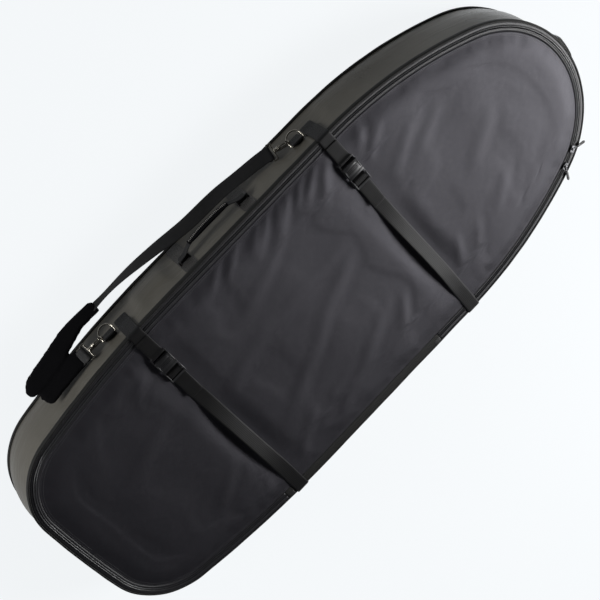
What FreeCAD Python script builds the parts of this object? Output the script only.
import FreeCAD, Part
import math
import os
from FreeCAD import Vector

# Padded board bag, lying on its back panel.
# X runs along the bag towards the nose, Z points up out of the front panel,
# Y points to the side that has the carry handle and the shoulder strap.
# The origin is the middle of the back panel's outer face. Millimetres.

# ---------------------------------------------------------------- outline of the bag
BAG_LENGTH = 1740.0
BAG_WIDTH = 690.0
BAG_DEPTH = 160.0
NOSE_LENGTH = 605.0
NOSE_TIP_RADIUS = 277.0
TAIL_LENGTH = 600.0
TAIL_SIDE_RADIUS = 2600.0
TAIL_CORNER_RADIUS = 186.0
TAIL_END_RADIUS = 2800.0

# ---------------------------------------------------------------- walls
SKIN = 1.2
LINING = 0.8
GUSSET_FOAM = 6.0
BACK_FOAM = 7.0
LID_FOAM = 12.6
CROWN_RISE = 6.0
CROWN_RUN = 42.0
PANEL_INSET = 26.0
PANEL_STAND = 0.6

# ---------------------------------------------------------------- bindings
BACK_BINDING_OUT = 5.0
BACK_BINDING_HEIGHT = 10.0
FRONT_BINDING_OUT = 3.5
FRONT_BINDING_DROP = 13.0
FRONT_BINDING_LAP = 2.0
BINDING_THICK = 1.5
BINDING_BEVEL = 1.2

# ---------------------------------------------------------------- zipper round the front panel
CHAIN_INSET = 15.0
CHAIN_GAP = 1.6
COIL_WIDTH = 3.4
COIL_HEIGHT = 2.4
TAPE_THICK = 1.0
HINGE_NOSE_X = 150.0
HINGE_TAIL_X = -420.0
HINGE_GAP = 0.6
HINGE_LIFT = 4.0
END_TAB_LENGTH = 22.0
END_TAB_THICK = 1.5

SLIDER_LENGTH = 19.0
SLIDER_WIDTH = 13.2
SLIDER_PLATE = 1.7
SLIDER_PLAY = 0.4
SLIDER_POST_LENGTH = 6.0
POST_RADIUS = 1.6
POST_HEAD_RADIUS = 2.8
POST_HEAD_THICK = 1.0
POST_FIT = 0.1
SIDE_SLIDER_BACK = 6.0
NOSE_SLIDER_FORWARD = 45.0
PULL_TURN = 45.0
LINK_THICK = 1.4
LINK_EYE_RADIUS = 3.4
LINK_LENGTH = 16.0
LINK_WIDTH = 3.0
PULL_LAP = 3.0
PULL_LENGTH = 26.0
PULL_WIDTH = 7.0
PULL_THICK = 3.2
PULL_GROOVES = 4
PULL_GROOVE_STEP = 3.0
PULL_GROOVE_DEPTH = 0.4

# ---------------------------------------------------------------- webbing and compression straps
WEB_WIDTH = 38.0
WEB_THICK = 1.7
STRAP_XS = {"nose": 256.0, "tail": -382.0}
STRAP_CLEAR = 0.6
ANCHOR_BOTTOM = 60.0
ANCHOR_TOP = 111.5
ANCHOR_GAP = 0.8
MOUTH_Y = 222.0
STRAP_UNDER_BUCKLE = 216.0
TAIL_END_LENGTH = 70.0

# ---------------------------------------------------------------- side release buckle
BUCKLE_WIDTH = 46.0
BUCKLE_HEIGHT = 12.5
FEMALE_BODY = 30.0
FEMALE_FRAME = 15.0
FEMALE_WALL = 2.4
BUCKLE_CORNER = 5.0
BUCKLE_PLAY = 0.4
FRAME_BAR = 5.0
WEB_SLOT = 41.0
MALE_SHOULDER = 8.0
MALE_LADDER = 36.0
LADDER_RAIL = 2.6
LADDER_BAR = 6.0
LADDER_THICK = 4.2
PRONG_LENGTH = 25.0
PRONG_WIDTH = 4.6
TONGUE_LENGTH = 20.0
TONGUE_WIDTH = 5.0

# ---------------------------------------------------------------- carry handle
HANDLE_X = -78.0
HANDLE_SPAN = 198.0
HANDLE_Z = 106.0
HANDLE_REACH = 27.0
HANDLE_BAND_WIDTH = 40.0
HANDLE_PIVOT_OUT = 10.0
KNUCKLE_RADIUS = 4.0
KNUCKLE_LENGTH = 34.0
KNUCKLE_LUG = 4.0
HANDLE_WEB_WIDTH = 20.0
HANDLE_WEB_THICK = 2.5
GRIP_LENGTH = 130.0
GRIP_WIDTH = 26.0
GRIP_THICK = 12.0
GRIP_CORNER = 4.0

# ---------------------------------------------------------------- nose handle
NOSE_HANDLE_Z = 118.0
NOSE_HANDLE_WIDTH = 30.0
NOSE_HANDLE_SPAN = 144.0
NOSE_HANDLE_GAP = 8.0
NOSE_HANDLE_THICK = 2.5
NOSE_PATCH_LENGTH = 30.0
NOSE_PATCH_THICK = 3.0

# ---------------------------------------------------------------- shoulder strap and its fittings
RING_OUT = 8.0
RING_Z = 106.0
RING_TILT = 50.0
RING_STEP = -44.0
RING_RADIUS = 20.0
RING_LEG = 12.0
RING_WIRE = 2.0
RING_TAB_WIDTH = 34.0
RING_TAB_BOTTOM = 62.0
RUN_CLEAR = 0.3
HOOK_TURNS = {"nose": 165.0, "tail": 180.0}
HOOK_INNER = 7.0
HOOK_PLAY = 0.9
HOOK_WALL = 3.5
HOOK_THICK = 7.0
HOOK_CAVITY_END = 22.0
HOOK_BASE_END = 28.0
HOOK_NECK_RADIUS = 5.6
HOOK_NECK_END = 33.0
GATE_START = 5.0
GATE_GAP = 0.4
GATE_THICK = 2.6
GATE_WIDTH = 4.0
GATE_PIVOT_RADIUS = 2.4
GATE_PIN_RADIUS = 0.8
PIN_FIT = 0.05
SWIVEL_PIN_RADIUS = 2.5
SWIVEL_HEAD_RADIUS = 4.0
SWIVEL_HEAD_THICK = 2.0
EYE_START = 36.0
EYE_BAR = 4.0
EYE_SLOT = 6.0
SHOULDER_WEB_THICK = 2.0
LOOP_TAIL = 10.0
PAD_WIDTH = 48.0
PAD_THICK = 8.0
PAD_CORNER = 14.0

NODES = {}


# ---------------------------------------------------------------- small helpers
def box(x0, x1, y0, y1, z0, z1):
    """A box from its low corner to its high corner."""
    return Part.makeBox(x1 - x0, y1 - y0, z1 - z0, Vector(x0, y0, z0))


def cylinder(radius, start, end):
    """A round bar from one point to another."""
    run = end - start
    return Part.makeCylinder(radius, run.Length, start, run)


def prism(points, depth):
    """A closed polygon of points, pushed along the vector depth."""
    wire = Part.makePolygon(points + [points[0]])
    return Part.Face(wire).extrude(depth)


def fused(shapes):
    """One solid out of touching or overlapping solids."""
    return shapes[0].multiFuse(shapes[1:]).removeSplitter()


def keep(name, *shapes):
    """Files the solids of one node under its name."""
    NODES[name] = list(shapes)


def frame_at(origin, x_dir, y_dir):
    """The placement whose local X and Y axes are the two given directions."""
    z_dir = x_dir.cross(y_dir)
    matrix = FreeCAD.Matrix(x_dir.x, y_dir.x, z_dir.x, origin.x,
                            x_dir.y, y_dir.y, z_dir.y, origin.y,
                            x_dir.z, y_dir.z, z_dir.z, origin.z,
                            0, 0, 0, 1)
    return FreeCAD.Placement(matrix)


def placed(shape, placement):
    """A copy of the shape, moved from a local frame into the one around it."""
    copy = shape.copy()
    copy.Placement = placement.multiply(shape.Placement)
    return copy


def offset_line(points, distance):
    """The polyline beside another one, to its left, with mitred corners."""
    result = []
    for index, (px, py) in enumerate(points):
        normals = []
        for first, second in ((index - 1, index), (index, index + 1)):
            if 0 <= first and second < len(points):
                dx = points[second][0] - points[first][0]
                dy = points[second][1] - points[first][1]
                length = math.hypot(dx, dy)
                normals.append((-dy / length, dx / length))
        nx = sum(normal[0] for normal in normals)
        ny = sum(normal[1] for normal in normals)
        scale = distance * len(normals) / (nx * nx + ny * ny)
        result.append((px + nx * scale, py + ny * scale))
    return result


def ribbon(points, thick):
    """The flat outline of a bent ribbon that lies to the left of a polyline."""
    return points + offset_line(points, thick)[::-1]


def ribbon_yz(points, thick, x_middle, width):
    """Webbing bent in the YZ plane, as wide as asked along X."""
    outline = [Vector(x_middle - width / 2, y, z) for y, z in ribbon(points, thick)]
    return prism(outline, Vector(width, 0, 0))


# ---------------------------------------------------------------- the outline
HALF_WIDTH = BAG_WIDTH / 2
NOSE_START_X = BAG_LENGTH / 2 - NOSE_LENGTH
TAIL_START_X = TAIL_LENGTH - BAG_LENGTH / 2


def nose_arcs():
    """Centres and radii of the nose's side arc and tip arc, which meet smoothly."""
    reach = NOSE_LENGTH - NOSE_TIP_RADIUS
    side = (reach ** 2 + HALF_WIDTH ** 2 - NOSE_TIP_RADIUS ** 2) / (2 * (HALF_WIDTH - NOSE_TIP_RADIUS))
    return (NOSE_START_X, HALF_WIDTH - side), side, (BAG_LENGTH / 2 - NOSE_TIP_RADIUS, 0.0)


def tail_arcs():
    """Centres of the tail's side, corner and end arcs, each touching the next."""
    side = (TAIL_START_X, HALF_WIDTH - TAIL_SIDE_RADIUS)
    end = (TAIL_END_RADIUS - BAG_LENGTH / 2, 0.0)
    from_end = TAIL_END_RADIUS - TAIL_CORNER_RADIUS
    from_side = TAIL_SIDE_RADIUS - TAIL_CORNER_RADIUS
    gap = math.hypot(side[0] - end[0], side[1] - end[1])
    along = ((side[0] - end[0]) / gap, (side[1] - end[1]) / gap)
    foot = (from_end ** 2 - from_side ** 2 + gap ** 2) / (2 * gap)
    rise = math.sqrt(from_end ** 2 - foot ** 2)
    corner = (end[0] + along[0] * foot + along[1] * rise, end[1] + along[1] * foot - along[0] * rise)
    return side, corner, end


def towards(centre, other, distance):
    """The point at a distance from centre, on the line from centre through other."""
    gap = math.hypot(other[0] - centre[0], other[1] - centre[1])
    return (centre[0] + (other[0] - centre[0]) * distance / gap,
            centre[1] + (other[1] - centre[1]) * distance / gap)


def arc_middle(centre, radius, start, end):
    """The point of an arc half way between two of its points."""
    middle = ((start[0] + end[0]) / 2, (start[1] + end[1]) / 2)
    return towards(centre, middle, radius)


NOSE_SIDE_CENTRE, NOSE_SIDE_RADIUS, NOSE_TIP_CENTRE = nose_arcs()
TAIL_SIDE_CENTRE, TAIL_CORNER_CENTRE, TAIL_END_CENTRE = tail_arcs()


def outline(out, z):
    """The bag's plan outline at height z, moved outwards by out (inwards if negative)."""
    nose_joint = towards(NOSE_SIDE_CENTRE, NOSE_TIP_CENTRE, NOSE_SIDE_RADIUS + out)
    side_joint = towards(TAIL_SIDE_CENTRE, TAIL_CORNER_CENTRE, TAIL_SIDE_RADIUS + out)
    end_joint = towards(TAIL_END_CENTRE, TAIL_CORNER_CENTRE, TAIL_END_RADIUS + out)
    edge = HALF_WIDTH + out
    half = [("arc", (NOSE_START_X, edge), NOSE_SIDE_CENTRE, NOSE_SIDE_RADIUS + out, nose_joint),
            ("line", (TAIL_START_X, edge), None, None, (NOSE_START_X, edge)),
            ("arc", side_joint, TAIL_SIDE_CENTRE, TAIL_SIDE_RADIUS + out, (TAIL_START_X, edge)),
            ("arc", end_joint, TAIL_CORNER_CENTRE, TAIL_CORNER_RADIUS + out, side_joint)]
    edges = []
    for mirror in (1, -1):
        for kind, start, centre, radius, end in half:
            first = Vector(start[0], start[1] * mirror, z)
            last = Vector(end[0], end[1] * mirror, z)
            if kind == "line":
                edges.append(Part.LineSegment(first, last).toShape())
            else:
                via = arc_middle(centre, radius, start, end)
                edges.append(Part.Arc(first, Vector(via[0], via[1] * mirror, z), last).toShape())
    for joint, tip_x in ((nose_joint, BAG_LENGTH / 2 + out), (end_joint, -BAG_LENGTH / 2 - out)):
        edges.append(Part.Arc(Vector(joint[0], joint[1], z), Vector(tip_x, 0, z),
                              Vector(joint[0], -joint[1], z)).toShape())
    return Part.Wire(Part.__sortEdges__(edges))


def edge_y(x):
    """The outline's half width at a place along the bag's sides."""
    if x > NOSE_START_X:
        return NOSE_SIDE_CENTRE[1] + math.sqrt(NOSE_SIDE_RADIUS ** 2 - (x - NOSE_START_X) ** 2)
    if x < TAIL_START_X:
        return TAIL_SIDE_CENTRE[1] + math.sqrt(TAIL_SIDE_RADIUS ** 2 - (x - TAIL_START_X) ** 2)
    return HALF_WIDTH


def slab(out, z0, z1):
    """A flat panel with the bag's outline."""
    return Part.Face(outline(out, z0)).extrude(Vector(0, 0, z1 - z0))


def ring(inner, outer, z0, z1):
    """A band that follows the outline between two offsets."""
    return slab(outer, z0, z1).cut(slab(inner, z0, z1))


def dome(out_low, z0, out_high, z1):
    """A panel whose sides lean in from one offset to another."""
    return Part.makeLoft([outline(out_low, z0), outline(out_high, z1)], True, True)


# ---------------------------------------------------------------- heights that several parts share
GUSSET_WALL = SKIN + GUSSET_FOAM + LINING
TAPE_LOW = BAG_DEPTH - TAPE_THICK
COIL_TOP = BAG_DEPTH + COIL_HEIGHT
PANEL_EDGE_Z = BAG_DEPTH + PANEL_STAND
CROWN_Z = PANEL_EDGE_Z + CROWN_RISE
LID_UNDER = PANEL_EDGE_Z - SKIN - LID_FOAM - LINING
BINDING_TOP = BAG_DEPTH + BINDING_THICK
CHAIN_OUTER = -CHAIN_INSET + CHAIN_GAP / 2
CHAIN_INNER = -CHAIN_INSET - CHAIN_GAP / 2
STRAP_OUT = FRONT_BINDING_OUT + STRAP_CLEAR
STRAP_EDGE_Z = max(BINDING_TOP, COIL_TOP) + STRAP_CLEAR
STRAP_TOP_Z = CROWN_Z
HINGE_Y = -(HALF_WIDTH - CHAIN_INSET)
HINGE_Z = STRAP_EDGE_Z + WEB_THICK + RUN_CLEAR


def hinge_side(x0, x1):
    """The space over the straight side where the front panel is hinged."""
    return box(x0, x1, -BAG_WIDTH, 0, 0, 2 * BAG_DEPTH)


# ---------------------------------------------------------------- fabric shell
def back_panel():
    keep("back_outer", slab(0, 0, SKIN))
    keep("back_foam", slab(-GUSSET_WALL, SKIN, SKIN + BACK_FOAM))
    keep("back_lining", slab(-GUSSET_WALL, SKIN + BACK_FOAM, SKIN + BACK_FOAM + LINING))
    keep("back_binding", dome(BACK_BINDING_OUT, 0, BACK_BINDING_OUT - BINDING_BEVEL, BACK_BINDING_HEIGHT)
         .cut(slab(0, 0, BACK_BINDING_HEIGHT)))


def gusset():
    foam_out = -SKIN
    lining_out = foam_out - GUSSET_FOAM
    keep("gusset_outer", ring(foam_out, 0, SKIN, TAPE_LOW))
    keep("gusset_foam", ring(lining_out, foam_out, SKIN, TAPE_LOW))
    keep("gusset_lining", ring(-GUSSET_WALL, lining_out, SKIN, TAPE_LOW))
    low = BAG_DEPTH - FRONT_BINDING_DROP
    wrap = dome(FRONT_BINDING_OUT, low, FRONT_BINDING_OUT - BINDING_BEVEL, BINDING_TOP)
    keep("front_binding", wrap.cut(slab(0, low, BAG_DEPTH)).cut(slab(-FRONT_BINDING_LAP, BAG_DEPTH, BINDING_TOP)))


def front_panel():
    envelope = fused([slab(-PANEL_INSET, LID_UNDER + LINING, PANEL_EDGE_Z),
                      dome(-PANEL_INSET, PANEL_EDGE_Z, -PANEL_INSET - CROWN_RUN, CROWN_Z)])
    foam = fused([slab(-PANEL_INSET - SKIN, LID_UNDER + LINING, PANEL_EDGE_Z - SKIN),
                  dome(-PANEL_INSET - SKIN, PANEL_EDGE_Z - SKIN,
                       -PANEL_INSET - CROWN_RUN - SKIN, CROWN_Z - SKIN)])
    keep("lid_outer", envelope.cut(foam))
    keep("lid_foam", foam)
    keep("lid_lining", slab(-PANEL_INSET, LID_UNDER, LID_UNDER + LINING))


def zipper():
    hinge = hinge_side(HINGE_TAIL_X, HINGE_NOSE_X)
    half_gap = HINGE_GAP / 2
    outer_tape = ring(CHAIN_OUTER, 0, TAPE_LOW, BAG_DEPTH)
    inner_tape = ring(-PANEL_INSET, CHAIN_INNER, TAPE_LOW, BAG_DEPTH)
    keep("zipper_tape_outer", outer_tape.cut(hinge))
    keep("zipper_tape_inner", inner_tape.cut(hinge))
    keep("zipper_coil_outer",
         ring(CHAIN_OUTER, CHAIN_OUTER + COIL_WIDTH, BAG_DEPTH, COIL_TOP).cut(hinge))
    keep("zipper_coil_inner",
         ring(CHAIN_INNER - COIL_WIDTH, CHAIN_INNER, BAG_DEPTH, COIL_TOP).cut(hinge))
    hinge_outer = ring(-CHAIN_INSET + half_gap, 0, TAPE_LOW, BAG_DEPTH)
    hinge_inner = ring(-PANEL_INSET, -CHAIN_INSET - half_gap, TAPE_LOW, BAG_DEPTH)
    keep("hinge_tape_outer", hinge_outer.common(hinge))
    keep("hinge_tape_inner", hinge_inner.common(hinge))
    tab_band = ring(-CHAIN_INSET + half_gap, -FRONT_BINDING_LAP, BAG_DEPTH, BAG_DEPTH + END_TAB_THICK)
    keep("zipper_end_tabs",
         tab_band.common(hinge_side(HINGE_NOSE_X - END_TAB_LENGTH, HINGE_NOSE_X)),
         tab_band.common(hinge_side(HINGE_TAIL_X, HINGE_TAIL_X + END_TAB_LENGTH)))


# ---------------------------------------------------------------- zipper sliders and pulls
def slider_solid():
    """A slider in its own frame: X along the chain, Y outwards, Z up, Z = 0 on top of the tape."""
    half, wide = SLIDER_LENGTH / 2, SLIDER_WIDTH / 2
    top_low = COIL_HEIGHT + SLIDER_PLAY
    under_high = -TAPE_THICK - SLIDER_PLAY
    outline_points = [Vector(-half, -wide * 0.7, 0), Vector(half * 0.2, -wide, 0), Vector(half, -wide, 0),
                      Vector(half, wide, 0), Vector(half * 0.2, wide, 0), Vector(-half, wide * 0.7, 0)]
    plate = prism(outline_points, Vector(0, 0, SLIDER_PLATE))
    upper, lower = plate.copy(), plate.copy()
    upper.translate(Vector(0, 0, top_low))
    lower.translate(Vector(0, 0, under_high - SLIDER_PLATE))
    post_half = CHAIN_GAP / 2 - SLIDER_PLAY
    post = box(half - SLIDER_POST_LENGTH, half, -post_half, post_half, under_high, top_low)
    base = top_low + SLIDER_PLATE
    neck_top = base + LINK_THICK + 2 * RUN_CLEAR
    pivot = cylinder(POST_RADIUS, Vector(0, 0, base), Vector(0, 0, neck_top))
    head = cylinder(POST_HEAD_RADIUS, Vector(0, 0, neck_top), Vector(0, 0, neck_top + POST_HEAD_THICK))
    return fused([upper, lower, post, pivot, head])


PULL_HEIGHT = COIL_HEIGHT + SLIDER_PLAY + SLIDER_PLATE + RUN_CLEAR


def pull_solids():
    """The link that turns on the slider's pivot, and the moulded tab on its end, along local X."""
    middle = LINK_THICK / 2
    up = Vector(0, 0, LINK_THICK)
    link = fused([cylinder(LINK_EYE_RADIUS, Vector(0, 0, 0), up),
                  box(0, LINK_LENGTH, -LINK_WIDTH / 2, LINK_WIDTH / 2, 0, LINK_THICK)])
    link = link.cut(cylinder(POST_RADIUS + POST_FIT, Vector(0, 0, 0) - up, up * 2))
    start = LINK_LENGTH - PULL_LAP
    grip_end = start + PULL_LENGTH
    half = PULL_WIDTH / 2
    outline_points = [(start, half * 0.5), (start + PULL_LAP, half * 0.8), (grip_end - half, half),
                      (grip_end, half * 0.5), (grip_end, -half * 0.5), (grip_end - half, -half),
                      (start + PULL_LAP, -half * 0.8), (start, -half * 0.5)]
    low = middle - PULL_THICK / 2
    tab = prism([Vector(x, y, low) for x, y in outline_points], Vector(0, 0, PULL_THICK))
    for index in range(PULL_GROOVES):
        x = grip_end - half - PULL_GROOVE_STEP * (index + 1)
        for side_low in (low - PULL_GROOVE_DEPTH, low + PULL_THICK - PULL_GROOVE_DEPTH):
            tab = tab.cut(box(x, x + PULL_GROOVE_STEP / 2, -half, half, side_low, side_low + 2 * PULL_GROOVE_DEPTH))
    return link, tab.cut(link)


def slider_frame(centre, radius, out_dir):
    """The slider's place on an arc of the chain, seen from the arc's centre along out_dir."""
    origin = Vector(centre[0], centre[1], BAG_DEPTH) + out_dir * (radius - CHAIN_INSET)
    return frame_at(origin, out_dir.cross(Vector(0, 0, 1)), out_dir)


def sliders():
    centre = (NOSE_SIDE_CENTRE[0], -NOSE_SIDE_CENTRE[1])
    meet = math.atan2(-centre[1], NOSE_TIP_CENTRE[0] - centre[0])
    side_turn = meet - SIDE_SLIDER_BACK / NOSE_SIDE_RADIUS
    nose_turn = meet + NOSE_SLIDER_FORWARD / NOSE_TIP_RADIUS
    side_dir = Vector(math.cos(side_turn), math.sin(side_turn), 0)
    nose_dir = Vector(math.cos(nose_turn), math.sin(nose_turn), 0)
    side = slider_frame(centre, NOSE_SIDE_RADIUS, side_dir)
    nose = slider_frame(NOSE_TIP_CENTRE, NOSE_TIP_RADIUS, nose_dir)
    link, drop = pull_solids()
    for name, place, turn in (("side", side, PULL_TURN), ("nose", nose, 180.0 - PULL_TURN)):
        swing = FreeCAD.Placement(Vector(0, 0, PULL_HEIGHT), FreeCAD.Rotation(Vector(0, 0, 1), turn))
        keep("slider_" + name, placed(slider_solid(), place))
        keep("pull_link_" + name, placed(link, place.multiply(swing)))
        keep("pull_cord_" + name, placed(drop, place.multiply(swing)))


# ---------------------------------------------------------------- compression straps and buckles
FEMALE_END_Y = MOUTH_Y + FEMALE_BODY + FEMALE_FRAME
MALE_END_Y = MOUTH_Y - MALE_SHOULDER - MALE_LADDER
BUCKLE_LOW = CROWN_Z + STRAP_CLEAR
BUCKLE_MID = BUCKLE_LOW + BUCKLE_HEIGHT / 2
MALE_LOW = STRAP_TOP_Z + 2 * WEB_THICK + 2 * RUN_CLEAR


def strap_edge(x_middle):
    """The widest half width of the bag under one strap."""
    return max(edge_y(x_middle - WEB_WIDTH / 2), edge_y(x_middle + WEB_WIDTH / 2))


def female_buckle(x_middle):
    half = BUCKLE_WIDTH / 2
    body_end = MOUTH_Y + FEMALE_BODY
    body = box(x_middle - half, x_middle + half, MOUTH_Y, body_end, BUCKLE_LOW, BUCKLE_LOW + BUCKLE_HEIGHT)
    corners = [edge for edge in body.Edges
               if abs(edge.tangentAt(edge.FirstParameter).z) > 0.9 and edge.CenterOfMass.y < MOUTH_Y + 1]
    body = body.makeChamfer(BUCKLE_CORNER / 2, corners)
    top_edges = [edge for edge in body.Edges
                 if abs(edge.CenterOfMass.z - BUCKLE_LOW - BUCKLE_HEIGHT) < 0.01
                 and abs(edge.tangentAt(edge.FirstParameter).y) > 0.9]
    body = body.makeChamfer(FEMALE_WALL / 2, top_edges)
    inner = half - FEMALE_WALL - BUCKLE_PLAY
    body = body.cut(box(x_middle - inner, x_middle + inner, MOUTH_Y - 1, body_end - FEMALE_WALL,
                        BUCKLE_LOW + FEMALE_WALL, BUCKLE_LOW + BUCKLE_HEIGHT - FEMALE_WALL))
    window = box(x_middle - 2 * half, x_middle + 2 * half, MOUTH_Y + PRONG_LENGTH * 0.35,
                 MOUTH_Y + PRONG_LENGTH * 0.95, BUCKLE_LOW + FEMALE_WALL, BUCKLE_LOW + BUCKLE_HEIGHT - FEMALE_WALL)
    centre = box(x_middle - inner, x_middle + inner, MOUTH_Y, body_end, 0, 2 * BAG_DEPTH)
    body = body.cut(window.cut(centre))
    frame = box(x_middle - half, x_middle + half, body_end, FEMALE_END_Y,
                BUCKLE_MID - FRAME_BAR / 2, BUCKLE_MID + FRAME_BAR / 2)
    ends = [edge for edge in frame.Edges
            if abs(edge.tangentAt(edge.FirstParameter).z) > 0.9 and edge.CenterOfMass.y > body_end + 1]
    frame = frame.makeFillet(BUCKLE_CORNER, ends)
    slot = box(x_middle - WEB_SLOT / 2, x_middle + WEB_SLOT / 2, body_end + FEMALE_WALL,
               FEMALE_END_Y - FRAME_BAR, 0, 2 * BAG_DEPTH)
    return fused([body, frame.cut(slot)])


def male_buckle(x_middle):
    half = BUCKLE_WIDTH / 2
    shoulder_y = MOUTH_Y - MALE_SHOULDER
    reach_low = BUCKLE_LOW + FEMALE_WALL + BUCKLE_PLAY
    reach_high = BUCKLE_LOW + BUCKLE_HEIGHT - FEMALE_WALL - BUCKLE_PLAY
    shoulder = box(x_middle - half, x_middle + half, shoulder_y, MOUTH_Y - BUCKLE_PLAY,
                   MALE_LOW, BUCKLE_LOW + BUCKLE_HEIGHT - BUCKLE_PLAY)
    rail_top = MALE_LOW + LADDER_THICK
    ladder = box(x_middle - half, x_middle + half, MALE_END_Y, shoulder_y, MALE_LOW, rail_top)
    ends = [edge for edge in ladder.Edges
            if abs(edge.tangentAt(edge.FirstParameter).z) > 0.9 and edge.CenterOfMass.y < MALE_END_Y + 1]
    ladder = ladder.makeFillet(BUCKLE_CORNER, ends)
    inner = half - LADDER_RAIL
    first_slot = box(x_middle - inner, x_middle + inner, MALE_END_Y + LADDER_BAR,
                     ladder_middle() - LADDER_BAR / 2, 0, 2 * BAG_DEPTH)
    second_slot = box(x_middle - inner, x_middle + inner, ladder_middle() + LADDER_BAR / 2, shoulder_y,
                      0, 2 * BAG_DEPTH)
    frame = ladder.cut(first_slot).cut(second_slot)
    prong_x = half - FEMALE_WALL - 2 * BUCKLE_PLAY
    pieces = [shoulder, frame]
    for side in (-1, 1):
        outer = x_middle + side * prong_x
        inner_x = x_middle + side * (prong_x - PRONG_WIDTH)
        root = MOUTH_Y - BUCKLE_PLAY
        points = [Vector(outer - side * PRONG_WIDTH * 0.3, root, reach_low), Vector(inner_x, root, reach_low),
                  Vector(inner_x, MOUTH_Y + PRONG_LENGTH, reach_low),
                  Vector(outer - side * PRONG_WIDTH * 0.5, MOUTH_Y + PRONG_LENGTH, reach_low),
                  Vector(outer, MOUTH_Y + PRONG_LENGTH * 0.6, reach_low),
                  Vector(outer, MOUTH_Y + PRONG_LENGTH * 0.4, reach_low)]
        pieces.append(prism(points, Vector(0, 0, reach_high - reach_low)))
    pieces.append(box(x_middle - TONGUE_WIDTH / 2, x_middle + TONGUE_WIDTH / 2, MOUTH_Y - BUCKLE_PLAY,
                      MOUTH_Y + TONGUE_LENGTH, reach_low, reach_high))
    return fused(pieces)


def ladder_middle():
    """Where the ladder's middle bar crosses the male buckle."""
    return MALE_END_Y + MALE_LADDER * 0.5


def short_strap(x_middle):
    """Webbing from the female buckle's bar, over the bag's edge, down to its fold."""
    bar_y = FEMALE_END_Y - FRAME_BAR / 2
    side_y = strap_edge(x_middle) + STRAP_OUT
    reach = FRAME_BAR / 2 + RUN_CLEAR + WEB_THICK
    loop = box(x_middle - WEB_WIDTH / 2, x_middle + WEB_WIDTH / 2, bar_y - reach, bar_y + reach,
               BUCKLE_MID - reach, BUCKLE_MID + reach)
    room = FRAME_BAR / 2 + RUN_CLEAR
    loop = loop.cut(box(x_middle - WEB_WIDTH, x_middle + WEB_WIDTH, bar_y - room, bar_y + room,
                        BUCKLE_MID - room, BUCKLE_MID + room))
    crown_y = HALF_WIDTH - PANEL_INSET - CROWN_RUN
    path = [(side_y, ANCHOR_TOP + ANCHOR_GAP), (side_y, STRAP_EDGE_Z),
            (crown_y + CROWN_RUN / 2, CROWN_Z), (bar_y + reach - WEB_THICK, BUCKLE_MID - reach)]
    outside = offset_line(path, -WEB_THICK)
    outline_points = [Vector(x_middle - WEB_WIDTH / 2, y, z) for y, z in path + outside[::-1]]
    return fused([prism(outline_points, Vector(WEB_WIDTH, 0, 0)), loop])


def side_anchor(x_middle, side):
    """The strap's end below its fold, sewn flat on the gusset on one side of the bag."""
    wall_y = strap_edge(x_middle)
    fold_y = wall_y + STRAP_OUT
    path = [(wall_y, ANCHOR_BOTTOM), (wall_y, ANCHOR_TOP - 3 * STRAP_OUT), (fold_y, ANCHOR_TOP - STRAP_OUT),
            (fold_y, ANCHOR_TOP)]
    strip = [(y * side, z) for y, z in ribbon(path, -WEB_THICK)]
    outline_points = [Vector(x_middle - WEB_WIDTH / 2, y, z) for y, z in strip]
    return prism(outline_points, Vector(WEB_WIDTH, 0, 0))


def long_strap(x_middle):
    """Webbing across the front panel, from the hinge line to under the buckle."""
    crown_y = HALF_WIDTH - PANEL_INSET - CROWN_RUN
    path = [(STRAP_UNDER_BUCKLE, STRAP_TOP_Z), (-crown_y, STRAP_TOP_Z),
            (HINGE_Y + HINGE_GAP / 2, STRAP_EDGE_Z)]
    return ribbon_yz(path, -WEB_THICK, x_middle, WEB_WIDTH)


def hinge_side_strap(x_middle):
    """The same webbing beyond the hinge line, over the edge and down the gusset."""
    side_y = strap_edge(x_middle) + STRAP_OUT
    wall_y = strap_edge(x_middle)
    path = [(HINGE_Y - HINGE_GAP / 2, STRAP_EDGE_Z), (-side_y, STRAP_EDGE_Z), (-side_y, ANCHOR_TOP - STRAP_OUT),
            (-wall_y, ANCHOR_TOP - 3 * STRAP_OUT), (-wall_y, ANCHOR_BOTTOM)]
    return ribbon_yz(path, -WEB_THICK, x_middle, WEB_WIDTH)


def strap_end(x_middle):
    """The free end of the long strap, threaded over the male buckle's middle bar."""
    low = STRAP_TOP_Z + WEB_THICK + RUN_CLEAR
    over = MALE_LOW + LADDER_THICK + RUN_CLEAR
    bar = ladder_middle()
    reach = LADDER_BAR / 2 + 2 * RUN_CLEAR
    shift = (over - low) * 1.1
    path = [(MALE_END_Y - TAIL_END_LENGTH, low), (bar - reach - shift, low), (bar - reach, over),
            (bar + reach, over), (bar + reach + shift, low), (bar + reach + shift + WEB_THICK, low)]
    return ribbon_yz(path, WEB_THICK, x_middle, WEB_WIDTH)


def compression_straps():
    for name, x_middle in STRAP_XS.items():
        keep("strap_anchor_" + name, side_anchor(x_middle, 1))
        keep("strap_short_" + name, short_strap(x_middle))
        keep("buckle_female_" + name, female_buckle(x_middle))
        keep("buckle_male_" + name, male_buckle(x_middle))
        keep("strap_end_" + name, strap_end(x_middle))
        keep("strap_long_" + name, long_strap(x_middle))
        keep("strap_hinge_side_" + name, hinge_side_strap(x_middle))


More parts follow.
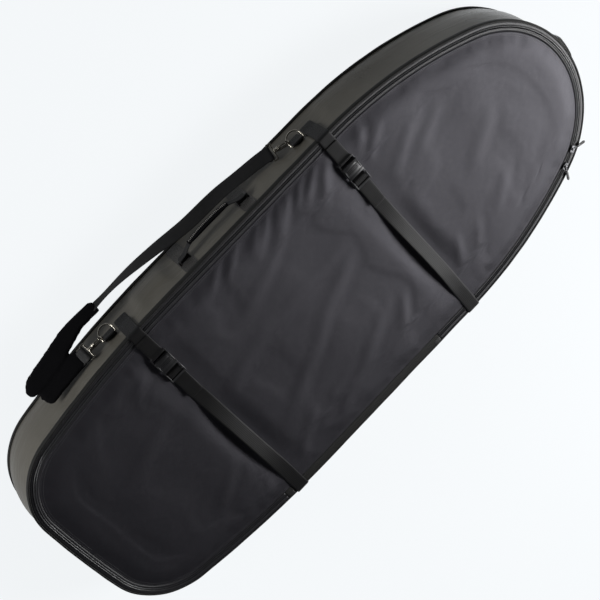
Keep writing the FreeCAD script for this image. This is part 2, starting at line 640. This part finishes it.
# ---------------------------------------------------------------- carry handle
def carry_handle():
    wall = HALF_WIDTH
    pivot_y = wall + HANDLE_PIVOT_OUT
    tube_inner = KNUCKLE_RADIUS + PIN_FIT
    tube_outer = tube_inner + HANDLE_WEB_THICK
    bands, knuckles, tubes, bores = [], [], [], []
    for side in (-1, 1):
        x_middle = HANDLE_X + side * HANDLE_SPAN / 2
        half = HANDLE_BAND_WIDTH / 2
        bands.append(box(x_middle - half, x_middle + half, wall, wall + WEB_THICK,
                         BACK_BINDING_HEIGHT, BAG_DEPTH - FRONT_BINDING_DROP))
        start = Vector(x_middle - KNUCKLE_LENGTH / 2, pivot_y, HANDLE_Z)
        end = Vector(x_middle + KNUCKLE_LENGTH / 2, pivot_y, HANDLE_Z)
        lug = Vector(KNUCKLE_LUG, 0, 0)
        pieces = [cylinder(KNUCKLE_RADIUS, start, end)]
        for low in (start, end - lug):
            pieces.append(box(low.x, low.x + KNUCKLE_LUG, wall + WEB_THICK, pivot_y,
                              HANDLE_Z - KNUCKLE_RADIUS, HANDLE_Z + KNUCKLE_RADIUS))
        knuckles.append(fused(pieces))
        play = Vector(RUN_CLEAR, 0, 0)
        tubes.append(cylinder(tube_outer, start + lug + play, end - lug - play))
        bores.append(cylinder(tube_inner, start - lug, end + lug))
    keep("handle_bands", *bands)
    keep("handle_knuckles", *knuckles)
    low_y = pivot_y + tube_inner
    high_y = pivot_y + HANDLE_REACH - GRIP_THICK
    middle_y = high_y + (GRIP_THICK - HANDLE_WEB_THICK) / 2
    end_x = HANDLE_SPAN / 2 + KNUCKLE_LENGTH / 2 - KNUCKLE_LUG - RUN_CLEAR
    grip_x = GRIP_LENGTH / 2
    path = [(HANDLE_X - end_x, low_y), (HANDLE_X - end_x + KNUCKLE_LENGTH / 2, low_y),
            (HANDLE_X - grip_x, middle_y), (HANDLE_X + grip_x, middle_y),
            (HANDLE_X + end_x - KNUCKLE_LENGTH / 2, low_y), (HANDLE_X + end_x, low_y)]
    z_low = HANDLE_Z - HANDLE_WEB_WIDTH / 2
    points = [Vector(x, y, z_low) for x, y in ribbon(path, HANDLE_WEB_THICK)]
    web = fused([prism(points, Vector(0, 0, HANDLE_WEB_WIDTH))] + tubes)
    for bore in bores:
        web = web.cut(bore)
    grip = box(HANDLE_X - grip_x, HANDLE_X + grip_x, high_y, high_y + GRIP_THICK,
               HANDLE_Z - GRIP_WIDTH / 2, HANDLE_Z + GRIP_WIDTH / 2)
    long_edges = [edge for edge in grip.Edges if abs(edge.tangentAt(edge.FirstParameter).x) > 0.9]
    grip = grip.makeFillet(GRIP_CORNER, long_edges)
    keep("handle_grip", grip.cut(web))
    keep("handle_webbing", web)


# ---------------------------------------------------------------- nose handle
def nose_handle():
    half = NOSE_HANDLE_SPAN / 2
    low = NOSE_HANDLE_Z - NOSE_HANDLE_WIDTH / 2
    high = NOSE_HANDLE_Z + NOSE_HANDLE_WIDTH / 2
    band = ring(0, NOSE_PATCH_THICK, low, high)
    patches = []
    for side in (-1, 1):
        y0 = side * half
        y1 = side * (half + NOSE_PATCH_LENGTH)
        patches.append(band.common(box(0, BAG_LENGTH, min(y0, y1), max(y0, y1), low, high)))
    tip = BAG_LENGTH / 2
    end_x = NOSE_TIP_CENTRE[0] + math.sqrt(NOSE_TIP_RADIUS ** 2 - half ** 2)
    lift = tip + NOSE_HANDLE_GAP
    strap_x = end_x + NOSE_PATCH_THICK
    path = [(end_x + RUN_CLEAR, half - RUN_CLEAR), (strap_x + NOSE_HANDLE_GAP / 2, half * 0.8), (lift, half * 0.4),
            (lift, -half * 0.4), (strap_x + NOSE_HANDLE_GAP / 2, -half * 0.8), (end_x + RUN_CLEAR, -half + RUN_CLEAR)]
    points = [Vector(x, y, low) for x, y in ribbon(path, NOSE_HANDLE_THICK)]
    strap = prism(points, Vector(0, 0, NOSE_HANDLE_WIDTH)).cut(slab(RUN_CLEAR, low, high))
    keep("nose_handle", strap.cut(patches[0]).cut(patches[1]))
    keep("nose_handle_patches", *patches)


# ---------------------------------------------------------------- rings, hooks and shoulder strap
TILT = math.radians(RING_TILT)
RING_Y = HALF_WIDTH + RING_OUT
BAIL_FRAME = frame_at(Vector(0, RING_Y, RING_Z), Vector(1, 0, 0), Vector(0, math.cos(TILT), -math.sin(TILT)))
EYE_BAR_X = EYE_START + EYE_BAR + EYE_SLOT
LOOP_END_X = EYE_BAR_X + EYE_BAR + RUN_CLEAR + SHOULDER_WEB_THICK + LOOP_TAIL


def ring_x(name):
    """Where a D-ring sits along the bag, beside its compression strap."""
    return STRAP_XS[name] + RING_STEP


def hook_frame(name):
    """The hook's frame in the bail plane: X away from the ring, Y out of the plane."""
    turn = math.radians(HOOK_TURNS[name])
    away = Vector(math.cos(turn), math.sin(turn), 0)
    contact = Vector(ring_x(name), RING_LEG, 0) + away * RING_RADIUS
    return frame_at(contact, away, Vector(0, 0, 1))


def d_outline(x_middle, radius):
    """A face shaped like the letter D in the bail plane, its straight side towards the bag."""
    lip = radius - RING_RADIUS
    left, right = x_middle - radius, x_middle + radius
    corners = [Vector(left, RING_LEG, 0), Vector(left, -lip, 0), Vector(right, -lip, 0), Vector(right, RING_LEG, 0)]
    bow = Part.Arc(corners[3], Vector(x_middle, RING_LEG + radius, 0), corners[0]).toShape()
    return Part.Face(Part.Wire(Part.makePolygon(corners).Edges + [bow]))


def d_ring(name):
    """A ring of eight-sided wire in the bail plane, its straight bar on the pivot line."""
    x_middle = ring_x(name)
    depth = Vector(0, 0, 2 * RING_WIRE)
    solid = d_outline(x_middle, RING_RADIUS + RING_WIRE).extrude(depth)
    solid = solid.cut(d_outline(x_middle, RING_RADIUS - RING_WIRE).extrude(depth))
    solid.translate(Vector(0, 0, -RING_WIRE))
    rims = [edge for edge in solid.Edges if abs(edge.BoundBox.ZMax - edge.BoundBox.ZMin) < RING_WIRE]
    return solid.makeChamfer(RING_WIRE * (1 - math.tan(math.pi / 8)), rims)


def ring_tab(name):
    """Webbing sewn on the gusset that loops round the ring's bar."""
    x_low = ring_x(name) - RING_TAB_WIDTH / 2
    wall = strap_edge(ring_x(name))
    inner = RING_WIRE + RUN_CLEAR
    outer = inner + WEB_THICK
    two = 2 * WEB_THICK
    profile = [(wall, RING_TAB_BOTTOM), (wall + two, RING_TAB_BOTTOM), (wall + two, RING_Z - 3 * outer),
               (RING_Y + outer * 0.7, RING_Z - outer * 0.7), (RING_Y - outer * 0.8, RING_Z - outer * 0.2),
               (wall, RING_Z - 2 * outer)]
    sheet = prism([Vector(x_low, y, z) for y, z in profile], Vector(RING_TAB_WIDTH, 0, 0))
    start = Vector(x_low, RING_Y, RING_Z)
    end = start + Vector(RING_TAB_WIDTH, 0, 0)
    return fused([sheet, cylinder(outer, start, end)]).cut(cylinder(inner, start, end))


GATE_PIVOT = Vector(HOOK_CAVITY_END - 1.0, HOOK_INNER + HOOK_WALL / 2, 0)


def hook_body():
    """A snap hook in its own frame, with a slot for its gate and a bore for its swivel."""
    half = HOOK_THICK / 2
    outer = HOOK_INNER + HOOK_WALL
    middle = HOOK_INNER - RING_WIRE - HOOK_PLAY
    depth = Vector(0, 0, HOOK_THICK)
    solid = fused([cylinder(outer, Vector(middle, 0, -half), Vector(middle, 0, half)),
                   box(middle, HOOK_BASE_END, -outer, outer, -half, half)])
    base_corners = [edge for edge in solid.Edges
                    if edge.CenterOfMass.x > HOOK_BASE_END - 0.1
                    and abs(edge.tangentAt(edge.FirstParameter).z) > 0.9]
    solid = solid.makeFillet(HOOK_WALL, base_corners)
    cavity = fused([cylinder(HOOK_INNER, Vector(middle, 0, -half), Vector(middle, 0, half)),
                    box(middle, HOOK_CAVITY_END, -HOOK_INNER, HOOK_INNER, -half, half)])
    gap = box(GATE_START, GATE_PIVOT.x, HOOK_INNER - 1, outer + 1, -half, half)
    fork = box(GATE_START, GATE_PIVOT.x + GATE_PIVOT_RADIUS + GATE_GAP, GATE_PIVOT.y - GATE_PIVOT_RADIUS - GATE_GAP,
               outer + 1, -GATE_WIDTH / 2 - RUN_CLEAR, GATE_WIDTH / 2 + RUN_CLEAR)
    ears = cylinder(HOOK_WALL / 2, GATE_PIVOT - depth / 2, GATE_PIVOT + depth / 2)
    neck = cylinder(HOOK_NECK_RADIUS, Vector(HOOK_BASE_END - 1, 0, 0), Vector(HOOK_NECK_END, 0, 0))
    bore = cylinder(SWIVEL_PIN_RADIUS + PIN_FIT, Vector(HOOK_CAVITY_END - 1, 0, 0), Vector(HOOK_NECK_END + 1, 0, 0))
    solid = solid.cut(cavity).cut(gap)
    solid = fused([solid, ears, neck]).cut(bore).cut(fork)
    pin = cylinder(GATE_PIN_RADIUS, GATE_PIVOT - depth / 2, GATE_PIVOT + depth / 2)
    return fused([solid, pin])


def hook_gate():
    """The hook's sprung gate, on its pin at the hook's base."""
    half = GATE_WIDTH / 2
    low = GATE_PIVOT.y - GATE_THICK / 2
    bar = box(GATE_START + GATE_GAP, GATE_PIVOT.x, low, low + GATE_THICK, -half, half)
    depth = Vector(0, 0, half)
    knuckle = cylinder(GATE_PIVOT_RADIUS, GATE_PIVOT - depth, GATE_PIVOT + depth)
    bore = cylinder(GATE_PIN_RADIUS + PIN_FIT, GATE_PIVOT - depth * 2, GATE_PIVOT + depth * 2)
    return fused([bar, knuckle]).cut(bore)


def swivel_eye():
    """The headed pin and the flat eye that the webbing passes through."""
    head_end = HOOK_CAVITY_END - RUN_CLEAR
    head = cylinder(SWIVEL_HEAD_RADIUS, Vector(head_end - SWIVEL_HEAD_THICK, 0, 0), Vector(head_end, 0, 0))
    pin = cylinder(SWIVEL_PIN_RADIUS, Vector(head_end, 0, 0), Vector(EYE_START, 0, 0))
    collar = cylinder(HOOK_NECK_RADIUS, Vector(HOOK_NECK_END + RUN_CLEAR, 0, 0), Vector(EYE_START + 1, 0, 0))
    half = WEB_WIDTH / 2 + 1 + EYE_BAR
    frame = box(EYE_START, EYE_BAR_X + EYE_BAR, -EYE_BAR / 2, EYE_BAR / 2, -half, half)
    ends = [edge for edge in frame.Edges if abs(edge.tangentAt(edge.FirstParameter).y) > 0.9]
    frame = frame.makeChamfer(EYE_BAR * 0.6, ends)
    slot = box(EYE_START + EYE_BAR, EYE_BAR_X, -EYE_BAR, EYE_BAR, -half + EYE_BAR, half - EYE_BAR)
    return fused([head, pin, collar, frame.cut(slot)])


def eye_loop():
    """The webbing's fold round the eye's bar, in the hook's frame."""
    half = WEB_WIDTH / 2
    room = EYE_BAR / 2 + RUN_CLEAR
    reach = room + SHOULDER_WEB_THICK
    bar = EYE_BAR_X + EYE_BAR / 2
    fold = box(bar - reach, bar + reach, -reach, reach, -half, half)
    fold = fold.cut(box(bar - room, bar + room, -room, room, -half, half))
    tail = box(bar + reach, LOOP_END_X, -SHOULDER_WEB_THICK, SHOULDER_WEB_THICK, -half, half)
    return fused([fold, tail])


def loop_end(name):
    """The end of the webbing's fold in the bail plane, as a pair of coordinates."""
    point = hook_frame(name).multVec(Vector(LOOP_END_X, 0, 0))
    return (point.x, point.y)


PAD_TOP_X = -400.0
STRAP_RUN = [(60.0, 44.0), (-5.0, 53.0), (-104.0, 55.0), (-166.0, 63.0), (-221.0, 71.0), (-306.0, 80.0),
             (PAD_TOP_X, 80.0)]
PAD_OUTLINE = [(PAD_TOP_X, 61.0), (-455.0, 60.0), (-523.0, 40.0), (-512.0, 34.0), (-512.0, -12.0),
               (-570.0, -16.0), (-634.0, -22.0), (-664.0, 50.0), (-636.0, 71.0), (-582.0, 79.0),
               (-531.0, 87.0), (-474.0, 96.0), (PAD_TOP_X, 99.0)]


def flat_run(points, width, thick):
    """Webbing that lies in the bail plane along a polyline."""
    low = offset_line(points, -width / 2)
    outline_points = [Vector(x, w, -thick / 2) for x, w in ribbon(low, width)]
    return prism(outline_points, Vector(0, 0, thick))


def shoulder_pad():
    """The folded pad in the bail plane, its lower corners rounded."""
    pad = prism([Vector(x, w, -PAD_THICK / 2) for x, w in PAD_OUTLINE], Vector(0, 0, PAD_THICK))
    corners = [edge for edge in pad.Edges
               if abs(edge.tangentAt(edge.FirstParameter).z) > 0.9 and edge.CenterOfMass.x < PAD_OUTLINE[2][0] - PAD_WIDTH]
    return pad.makeFillet(PAD_CORNER, corners)


def shoulder_strap():
    nose_end = loop_end("nose")
    tail_end = loop_end("tail")
    pad = shoulder_pad()
    run = flat_run([nose_end] + STRAP_RUN, WEB_WIDTH, SHOULDER_WEB_THICK).cut(pad)
    short_run = flat_run([tail_end, (PAD_OUTLINE[3][0], tail_end[1])], WEB_WIDTH, SHOULDER_WEB_THICK)
    for name, strip in (("nose", run), ("tail", short_run)):
        place = BAIL_FRAME.multiply(hook_frame(name))
        keep("shoulder_webbing_" + name,
             fused([placed(eye_loop(), place), placed(strip, BAIL_FRAME)]))
        keep("swivel_eye_" + name, placed(swivel_eye(), place))
        keep("hook_body_" + name, placed(hook_body(), place))
        keep("hook_gate_" + name, placed(hook_gate(), place))
        keep("d_ring_" + name, placed(d_ring(name), BAIL_FRAME))
        keep("ring_tab_" + name, ring_tab(name))
    keep("shoulder_pad", placed(pad, BAIL_FRAME))


# ---------------------------------------------------------------- build and write
back_panel()
gusset()
front_panel()
zipper()
sliders()
compression_straps()
carry_handle()
nose_handle()
shoulder_strap()

os.makedirs("parts", exist_ok=True)
for node_name, solids in NODES.items():
    node_shape = solids[0] if len(solids) == 1 else Part.makeCompound(solids)
    node_shape.exportStep("parts/" + node_name + ".step")
    valid = all(solid.isValid() for solid in solids)
    box_text = node_shape.BoundBox
    print(node_name, len(node_shape.Solids), "valid" if valid else "NOT VALID", round(node_shape.Volume),
          [round(value, 1) for value in (box_text.XMin, box_text.XMax, box_text.YMin, box_text.YMax,
                                         box_text.ZMin, box_text.ZMax)])
